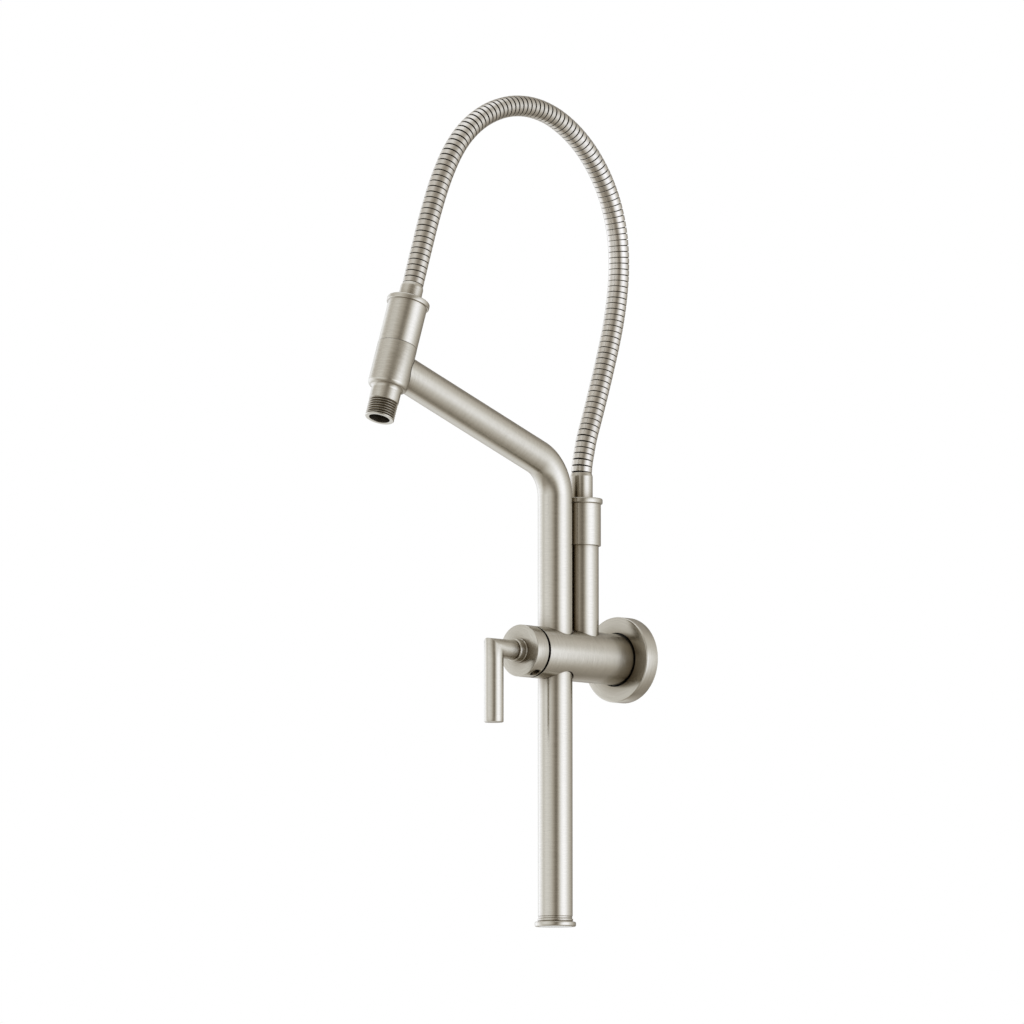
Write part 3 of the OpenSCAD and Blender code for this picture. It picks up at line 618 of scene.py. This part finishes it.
def add_hose(banded, shade_paint, plastic):
    cover, route = hose_cover(banded, shade_paint)
    liner = hose_liner(route, plastic)
    path = [route.at(route.length * i / 240) for i in range(241)]
    for piece, node, slot in ((cover, "hose_cover", "hose_bands"), (liner, "hose_liner", "liner_plastic")):
        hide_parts(node)
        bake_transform(piece)


# ---------- post, arm and foot ----------

def add_post_and_arm(nickel):
    """Upright, bend and arm are one drawn tube, coped at its end to sit round the sleeve."""
    angle = math.pi / 2 - ARM_RISE
    run = BEND_R * math.tan(angle / 2)
    arm_way = Vector((0, -math.cos(ARM_RISE), math.sin(ARM_RISE)))
    corner = Vector((0, -POST_OUT, CORNER_Z))
    stations = []                                  # (centre, way along)
    straight = CORNER_Z - run - POST_END_Z
    for i in range(41):
        stations.append((Vector((0, -POST_OUT, POST_END_Z + straight * i / 40)), Vector((0, 0, 1))))
    for i in range(1, 37):
        a = angle * i / 36
        centre = Vector((0, -POST_OUT - BEND_R + BEND_R * math.cos(a),
                         CORNER_Z - run + BEND_R * math.sin(a)))
        stations.append((centre, Vector((0, -math.sin(a), math.cos(a)))))
    for i in range(1, 25):
        stations.append((corner + arm_way * (run + (ARM_LEN - SLEEVE_R - 6 - run) * i / 24), arm_way))
    rings = []
    side = Vector((1, 0, 0))
    for radius, order in ((POST_R, stations), (POST_R - POST_WALL, stations[::-1])):
        wall = []
        for centre, way in order:
            wall.append([(centre + radius * (math.cos(TURN * k / ROUND) * side
                                             + math.sin(TURN * k / ROUND) * way.cross(side))) * MM
                         for k in range(ROUND)])
        coped = []
        for k in range(ROUND):
            x = radius * math.cos(TURN * k / ROUND)
            reach = ARM_LEN - math.sqrt((SLEEVE_R + 0.2) ** 2 - x * x)
            coped.append((corner + arm_way * reach + radius * (math.cos(TURN * k / ROUND) * side
                          + math.sin(TURN * k / ROUND) * arm_way.cross(side))) * MM)
        rings += wall + [coped] if order is stations else [coped] + wall
    stand_for(skin("post_and_arm", rings, way_along(rings), nickel), "arm", "post_arm")


def add_foot(nickel):
    """Flange with two rings above it, and a plug up into the post."""
    z = FOOT_Z
    plug_r = POST_R - POST_WALL - 0.05
    corners = [(0, z + 0.8), (11.9, z + 0.8), (11.9, z, 0.2), (14.9, z, 0.9), (14.9, z + 3.4, 0.9),
               (12.3, z + 3.5, 0.1), (12.3, z + 3.9), (12.8, z + 4.1, 0.2), (12.8, z + 5.6, 0.4),
               (12.0, z + 5.7), (12.0, z + 6.0), (12.2, z + 6.05, 0.15), (12.2, z + 7.2, 0.2),
               (11.9, z + 7.25), (11.9, POST_END_Z), (plug_r, POST_END_Z), (plug_r, FOOT_PLUG_TOP),
               (0, FOOT_PLUG_TOP)]
    stand_for(turned("foot", corners, AT_POST, nickel), "arm", "foot_flange")


# ---------- valve body and rosette ----------

def from_axis(point):
    """Distance from the valve's axis."""
    return math.hypot(point.x, point.z)


def bore_outline(radius, low, high):
    """Outline of a plain bore's cutter."""
    return [(0, low), (radius, low), (radius, high), (0, high)]


def add_body(nickel, shade_paint):
    """The bar, open at the back for its spigot and at the front for the cartridge, bored for the post
    and the riser."""
    front = BODY_FRONT - CAP_LINE
    corners = [(12.05, BODY_BACK, 0.2), (BODY_R, BODY_BACK, 0.3), (BODY_R, front, 0.2),
               (NUT_RECESS_R, front, 0.2), (NUT_RECESS_R, front - NUT_RECESS_L),
               (CHAMBER_R, front - NUT_RECESS_L), (CHAMBER_R, CHAMBER_FLOOR), (0, CHAMBER_FLOOR),
               (0, 33), (9, 33), (9, 31), (12.05, 31)]
    body = turned("valve_body_bar", corners, OUTWARD, nickel, sides=FINE_ROUND)
    tall = 3 * BODY_R
    cut(body,
        turned("post_bore", bore_outline(12.55, -tall, tall), AT_POST, nickel),
        turned("post_relief", bore_outline(RELIEF_R, RELIEF_Z, tall), AT_POST, nickel),
        turned("post_relief_low", bore_outline(RELIEF_R, -tall, -RELIEF_Z), AT_POST, nickel),
        turned("riser_seat", bore_outline(12.56, 12, tall), AT_RISER, nickel))
    round_edges(body, 0.2)
    # painted shade on the back end and on the front face and recess, inside the line between body and cap
    darken(body, shade_paint, lambda c: -c.y < BODY_BACK + 0.05
           or (-c.y > front - NUT_RECESS_L - 0.1 and from_axis(c) < BODY_R - 0.2))
    stand_for(body, "wall_body", "valve_body")


def add_rosette(nickel, shade_paint):
    """A cup with a 2 mm wall, with painted shade inside and in its hole."""
    r, h = ROSETTE_R, ROSETTE_H
    hole_r = BODY_R + ROSETTE_CLEAR
    corners = [(r, 0, 0.2), (r, h, 1.0), (hole_r, h, 0.15), (hole_r, h - 2), (r - 2, h - 2, 0.8), (r - 2, 0)]
    rosette = turned("rosette", corners, OUTWARD, nickel, sides=FINE_ROUND)
    # painted shade in the hole round the body and inside the cup
    darken(rosette, shade_paint,
           lambda c: from_axis(c) < hole_r + 0.02 or (-c.y < h - 1.9 and from_axis(c) < r - 1))
    stand_for(rosette, "wall_body", "wall_rosette")


# ---------- handle ----------

def add_cap(nickel, shade_paint):
    """A cup over the cartridge, with the set screw's hole low on its side."""
    back, front = CAP_BACK + CAP_LINE, CAP_FRONT
    floor = front - CAP_FACE_T
    corners = [(16.15, back), (BODY_R, back, 0.12), (BODY_R, front, 0.45), (4.03, front), (4.03, floor),
               (9.55, floor), (9.55, back + 1.6), (16.15, back + 1.6)]
    cap = turned("cap", corners, OUTWARD, nickel, sides=FINE_ROUND)
    screw = Matrix.Translation((0, -SCREW_OUT, 0)) @ Matrix.Rotation(math.pi - SCREW_SIDE, 4, "Y")
    cut(cap,
        turned("screw_seat", bore_outline(3.7, 12.9, 30), screw, nickel, sides=48),
        turned("screw_bore", bore_outline(2.5, 8, 30), screw, nickel, sides=48))
    round_edges(cap, 0.2)
    # painted shade on the back, inside the body's line, and low inside the cap round the set screw's hole
    darken(cap, shade_paint, lambda c: (-c.y < back + 0.05 and from_axis(c) < BODY_R - 0.1)
           or (c.z < -9 and -c.y < front - 0.5 and from_axis(c) < BODY_R - 3.4))
    stand_for(cap, "handle", "handle_cap")


def add_collar(nickel):
    """Ring between the cap and the lever's stem, with a wider root."""
    corners = [(4.05, CAP_FRONT), (COLLAR_ROOT_R, CAP_FRONT), (COLLAR_ROOT_R, CAP_FRONT + 1, 0.4),
               (COLLAR_R, CAP_FRONT + 1.4, 0.2), (COLLAR_R, COLLAR_END, 0.8), (4.05, COLLAR_END)]
    stand_for(turned("collar", corners, OUTWARD, nickel), "handle", "lever_collar")


def add_lever(nickel):
    """Screw, stem and rod of one bar, mitred square at the corner."""
    def circle(r):
        return [(r * math.cos(TURN * k / ROUND), r * math.sin(TURN * k / ROUND)) for k in range(ROUND)]

    def stem_ring(out, r):
        return [Vector((x, -out, z)) * MM for x, z in circle(r)]

    def rod_ring(down, r):
        return [Vector((x, -(LEVER_OUT + z), -down)) * MM for x, z in circle(r)]

    root = CAP_FRONT - 3.3
    rings = [[Vector((0, -root, 0)) * MM] * ROUND]
    rings += [stem_ring(out, r) for out, r in (
        (root, 4.0), (STEM_START - 0.5, 4.0), (STEM_START - 0.6, 6.4), (STEM_START, 6.6),
        (STEM_START, 6.7), (STEM_START + 0.25, 6.95), (STEM_START + 0.6, LEVER_R))]
    stem_run = LEVER_OUT - LEVER_R - 1 - STEM_START
    rings += [stem_ring(STEM_START + 0.6 + stem_run * i / 6, LEVER_R) for i in range(1, 7)]
    mitre = [Vector((x, -(LEVER_OUT + z), z)) * MM for x, z in circle(LEVER_R)]
    rings.append(mitre)
    rod_run = LEVER_DROP - LEVER_R - 1.6
    rings += [rod_ring(LEVER_R + 1 + rod_run * i / 11, LEVER_R) for i in range(12)]
    rings += [rod_ring(down, r) for down, r in (
        (LEVER_DROP - 0.18, LEVER_R - 0.15), (LEVER_DROP, LEVER_R - 0.5), (LEVER_DROP, 0.0))]
    lever = skin("lever_bar", rings, way_along(rings), nickel, closed=False)
    round_edges(lever, 0.55)
    stand_for(lever, "handle", "lever")


# ---------- riser, nuts, ferrules and sleeve ----------

def add_riser(nickel):
    """Tube that carries the lower nut, with the threaded stub inside it."""
    top = NUT_TOP_Z - NUT_LOW_LEN + 11.7
    stub = NUT_TOP_Z - 11.0
    corners = [(RISER_BORE_R, 4.2), (10.2, 4.2), (10.2, 12.05), (RISER_R, 12.05), (RISER_R, top),
               (10.1, top), (10.1, stub), (RISER_BORE_R, stub)]
    stand_for(turned("riser", corners, AT_RISER, nickel), "wall_body", "riser_tube")


def add_nut(name, place, length, body, node, nickel):
    """Long round nut, hanging from its flange at place."""
    inner = FERRULE_R + 0.15
    corners = [(inner, 0, 0.3), (NUT_FLANGE_R, 0, 0.9), (NUT_FLANGE_R, -3.8, 0.9), (NUT_R, -4.0, 0.4),
               (NUT_R, -length, 0.35), (12.6, -length), (12.6, -length + 12), (10.6, -length + 12),
               (10.6, -NUT_ROOF), (inner, -NUT_ROOF)]
    stand_for(turned(name, corners, place, nickel), body, node)


def add_ferrule(name, place, visible, body, node, nickel):
    """Crimped end of the hose, standing out of its nut by visible."""
    bore = CRIMP_R + 0.35
    corners = [(bore, -NUT_ROOF), (FERRULE_R, -NUT_ROOF), (FERRULE_R, visible - FERRULE_TAPER, 0.5),
               (HOSE_R - FERRULE_TIP, visible, 0.2), (bore, visible)]
    stand_for(turned(name, corners, place, nickel), body, node)


def thread_wall(r, h, a):
    """Radius of the outlet's outside at height h and turn a: a right-handed thread with the pitch and
    depth of G 1/2. The shape of its groove is chosen for the look."""
    if r < THREAD_R - 0.05 or h > THREAD_START + 0.3 or h < OUTLET_END + 0.5:
        return r
    fade = min(max((THREAD_START + 0.2 - h) / 0.5, 0.0), 1.0)
    fade *= min(max((h - OUTLET_END - 0.8) / 0.5, 0.0), 1.0)
    phase = ((THREAD_START - h) / THREAD_PITCH + a / TURN) % 1.0
    groove = (0.5 - 0.5 * math.cos(TURN * phase)) ** 0.8
    return r - THREAD_DEPTH * groove * fade


def add_sleeve(nickel, shade_paint, thread_shade_paint):
    """The sleeve's lower part, its rounded shoulder, the neck and the threaded outlet."""
    r = SLEEVE_R
    sweep = math.radians(75)
    crease_r = r - SHOULDER_BEND * (1 - math.cos(sweep))
    crease_z = SHOULDER_Z - SHOULDER_BEND * math.sin(sweep)
    fillet = math.acos(1 - (crease_r - NECK_R) / FILLET_BEND)
    neck_z = crease_z - FILLET_BEND * math.sin(fillet)
    shoulder = [(r - SHOULDER_BEND * (1 - math.cos(sweep * i / 10)),
                 SHOULDER_Z - SHOULDER_BEND * math.sin(sweep * i / 10)) for i in range(11)]
    hollow = [(NECK_R + FILLET_BEND * (1 - math.cos(fillet * (1 - i / 8))),
               neck_z + FILLET_BEND * math.sin(fillet * (1 - i / 8))) for i in range(1, 9)]
    steps = 190
    thread = [(THREAD_R, THREAD_START + 0.2 + (OUTLET_END + 0.5 - THREAD_START - 0.2) * i / steps)
              for i in range(steps + 1)]
    corners = ([(5.5, 37.5), (10.1, 37.5), (10.1, SEAM_Z, 0.1), (r, SEAM_Z, 0.15)] + shoulder + hollow
               + [(NECK_R, THREAD_START + 0.5, 0.1)] + thread
               + [(THREAD_R - 0.4, OUTLET_END, 0.15), (OUTLET_BORE_R, OUTLET_END, 0.4),
                  (OUTLET_BORE_R, -15.9), (5.5, -15.9)])
    sleeve = turned("sleeve_and_outlet", corners, SLEEVE, nickel, shape=thread_wall, sides=FINE_ROUND)
    sleeve.data.set_sharp_from_angle(angle=math.radians(75))      # so the thread is shaded smooth
    home = SLEEVE.inverted()

    def radius_at(centre):
        at = home @ centre
        return math.hypot(at.x, at.y)

    def in_groove(centre):
        return THREAD_R > radius_at(centre) + 0.9 and OUTLET_END + 0.7 < (home @ centre).z < THREAD_START

    # painted shade in the outlet's bore, and a lighter painted shade deep in the thread's grooves
    darken(sleeve, shade_paint, lambda c: radius_at(c) < OUTLET_BORE_R + 0.05)
    darken(sleeve, thread_shade_paint, in_groove)
    stand_for(sleeve, "arm", "outlet_sleeve")


# ---------- pieces that stay as the CAD made them ----------

def dress(material, *nodes):
    """Gives CAD nodes that keep their shape a material."""
    for node in nodes:
        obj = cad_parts[node]
        obj.data.materials.clear()
        obj.data.materials.append(material)


# ---------- studio ----------

# Brightness of the studio, ring by ring: (elevation, [(degrees to the camera's right, brightness)]).
# The values don't come from a plain set of lamps: a least-squares fit gave the first ones, and they
# were adjusted after it. It is brightest to the camera's right, to the left behind the object and
# overhead, and dim round the camera.
BRIGHTEST = 3.0
METER = 1.42                # sets all the brightnesses against the metal
STUDIO = [
    (-90, [(-180, 0.25), (0, 0.28)]),
    (-40, [(-180, 1.0), (-160, 0.9), (-140, 0.95), (-120, 0.9), (-100, 0.9), (-80, 0.4), (-45, 0.44),
           (-10, 0.22), (25, 0.5), (42, 1.05), (60, 1.2), (80, 0.75), (110, 0.42), (150, 0.3), (168, 0.5)]),
    (-15, [(-180, 0.35), (-140, 1.3), (-105, 1.25), (-75, 0.67), (-50, 0.82), (-30, 0.76), (-12, 0.38),
           (5, 0.21), (20, 0.54), (40, 1.33), (60, 1.53), (80, 1.38), (95, 0.84), (115, 0.52), (150, 0.2)]),
    (6, [(-180, 0.18), (-155, 0.95), (-130, 1.53), (-105, 1.25), (-85, 0.83), (-65, 1.08), (-50, 1.01),
         (-38, 0.91), (-28, 0.83), (-19, 0.67), (-11, 0.51), (-4, 0.34), (3, 0.22), (10, 0.2),
         (17, 0.39), (25, 0.79), (34, 1.25), (44, 1.6), (56, 1.78), (70, 1.63), (86, 1.18),
         (104, 0.85), (130, 0.47), (155, 0.25)]),
    (27, [(-180, 0.24), (-165, 0.6), (-145, 0.9), (-125, 0.66), (-105, 0.58), (-75, 0.77), (-50, 0.8),
          (-30, 0.6), (-12, 0.45), (5, 0.27), (22, 0.29), (40, 0.36), (60, 0.52), (85, 0.8), (115, 0.64),
          (150, 0.21)]),
    (50, [(-180, 0.5), (-150, 1.05), (-120, 0.8), (-85, 0.74), (-45, 0.78), (-10, 0.45), (25, 0.32),
          (60, 0.55), (100, 0.62), (130, 0.36), (155, 0.33)]),
    (64, [(-180, 1.2), (-110, 1.0), (-40, 0.82), (0, 0.65), (40, 0.72), (90, 1.0), (150, 1.25)]),
    (90, [(-180, 1.2), (0, 1.2)]),
]


def light_ring(tree, angle, stops):
    """Brightness round the object at one height. stops are as in STUDIO, and the ring is closed."""
    ramp = put(tree, "ShaderNodeValToRGB", {"Fac": angle})
    spots = ramp.color_ramp.elements
    stops = [(-180, stops[-1][1])] + stops if stops[0][0] > -180 else stops
    stops = [(degrees, value) for degrees, value in stops if degrees < 180] + [(180, stops[0][1])]
    for degrees, _ in stops[2:]:
        spots.new((degrees + 180) / 360)
    for spot, (degrees, value) in zip(spots, stops):
        spot.position = (degrees + 180) / 360
        spot.color = (value / BRIGHTEST, value / BRIGHTEST, value / BRIGHTEST, 1)
    return ramp.outputs[0]


def add_studio():
    """Soft studio light: a world whose brightness depends only on the direction."""
    world = bpy.data.worlds.new("studio")
    bpy.context.scene.world = world
    world.use_nodes = True
    tree = world.node_tree
    tree.nodes.clear()
    coords = put(tree, "ShaderNodeTexCoord")
    turned_round = put(tree, "ShaderNodeMapping", {"Vector": coords.outputs["Generated"]},
                       vector_type="POINT")
    # x of the result points at the camera, y to its right
    turned_round.inputs["Rotation"].default_value = (0, 0, math.radians(48.11))
    parts = put(tree, "ShaderNodeSeparateXYZ", {"Vector": turned_round.outputs[0]})
    angle = put(tree, "ShaderNodeMath", {0: parts.outputs[1], 1: parts.outputs[0]}, operation="ARCTAN2")
    share = put(tree, "ShaderNodeMapRange", {"Value": angle.outputs[0]}, From_Min=-math.pi, From_Max=math.pi)
    height = put(tree, "ShaderNodeMath", {0: parts.outputs[2]}, operation="ARCSINE")
    light = None
    below = None
    for elevation, stops in STUDIO:
        ring = light_ring(tree, share.outputs[0], stops)
        if light is None:
            light = ring
        else:
            rise = put(tree, "ShaderNodeMapRange", {"Value": height.outputs[0]}, From_Min=math.radians(below),
                       From_Max=math.radians(elevation))
            mix = put(tree, "ShaderNodeMix", {"Factor": rise.outputs[0]}, data_type="RGBA")
            tree.links.new(light, mix.inputs[6])
            tree.links.new(ring, mix.inputs[7])
            light = mix.outputs[2]
        below = elevation
    # the dim parts of the studio are warm and the bright ones a little blue
    warmth = put(tree, "ShaderNodeValToRGB", {"Fac": light})
    for i, (brightness, colour) in enumerate(((0.25, (1.07, 1.0, 0.9)), (0.85, (0.965, 1.0, 1.05)),
                                              (1.5, (0.935, 1.0, 1.17)))):
        spots = warmth.color_ramp.elements
        spot = spots[i] if i < 2 else spots.new(brightness / BRIGHTEST)
        spot.position = brightness / BRIGHTEST
        spot.color = (*colour, 1)
    tinted = put(tree, "ShaderNodeMix", {6: light, 7: warmth.outputs[0]}, data_type="RGBA",
                 blend_type="MULTIPLY", Factor=1.0)
    glow = put(tree, "ShaderNodeBackground", {"Color": tinted.outputs[2]}, Strength=BRIGHTEST * METER)
    backdrop = put(tree, "ShaderNodeBackground", Color=(1, 1, 1, 1), Strength=1.0)
    path = put(tree, "ShaderNodeLightPath")
    both = put(tree, "ShaderNodeMixShader",
               {0: path.outputs["Is Camera Ray"], 1: glow.outputs[0], 2: backdrop.outputs[0]})
    put(tree, "ShaderNodeOutputWorld", {"Surface": both.outputs[0]})
    bpy.context.scene.view_settings.view_transform = "Standard"


def add_floor():
    bpy.ops.mesh.primitive_plane_add(size=30, location=(0, 0, -0.9))
    floor = bpy.context.object
    floor.name = "floor"
    material, tree = new_material("pale_floor")
    shader = put(tree, "ShaderNodeBsdfPrincipled", Base_Color=linear("#F4F4F2"), Roughness=0.8)
    finish_material(tree, shader)
    floor.data.materials.append(material)
    floor.visible_glossy = False          # the metal mirrors the studio, not the floor


def build():
    add_camera()
    nickel = brushed_nickel()
    # painted shade for the insides of gaps, recesses and bores, and for the hose's core
    shade_paint = plain_metal("painted_recess_shade", "#211F1D", 0.6)
    # painted shade for the bottoms of the thread's grooves
    thread_shade_paint = plain_metal("painted_thread_groove_shade", "#5C5346", 0.5)
    brass = plain_metal("machined_brass", "#BFA066", 0.35)
    steel = plain_metal("stainless_screw", "#8A8A88", 0.35)
    rubber = moulded("black_rubber", "#0B0B0B", 0.6)
    plastic = moulded("white_acetal", "#DEDEDA", 0.4)
    ceramic = moulded("ground_ceramic", "#E8E4D8", 0.2)
    add_hose(hose_strip(), shade_paint, plastic)
    add_post_and_arm(nickel)
    add_foot(nickel)
    add_body(nickel, shade_paint)
    add_rosette(nickel, shade_paint)
    add_cap(nickel, shade_paint)
    add_collar(nickel)
    add_lever(nickel)
    add_riser(nickel)
    add_nut("nut_by_riser", NUT_LOW, NUT_LOW_LEN, "wall_body", "hose_nut_lower", nickel)
    add_nut("nut_by_sleeve", NUT_UP, NUT_UP_LEN + SEAM_LINE, "arm", "hose_nut_upper", nickel)
    add_ferrule("ferrule_by_riser", NUT_LOW, FERRULE_LOW, "wall_body", "ferrule_lower", nickel)
    add_ferrule("ferrule_by_sleeve", NUT_UP, FERRULE_UP, "arm", "ferrule_upper", nickel)
    add_sleeve(nickel, shade_paint, thread_shade_paint)
    dress(brass, "wall_bracket", "cartridge_nut", "cartridge_stem", "arm_plug", "hose_tail_upper",
          "hose_tail_lower")
    dress(steel, "body_grub_screw", "post_lock_screw", "adapter_screw", "cap_set_screw")
    dress(rubber, "spigot_o_rings", "rosette_gasket", "cartridge_gasket", "stem_o_ring", "riser_o_ring",
          "hose_washer_upper", "hose_washer_lower")
    dress(plastic, "post_bearings", "cartridge_housing", "handle_adapter", "foot_pad")
    dress(ceramic, "fixed_disc", "turning_disc")
    add_studio()
    add_floor()


build()
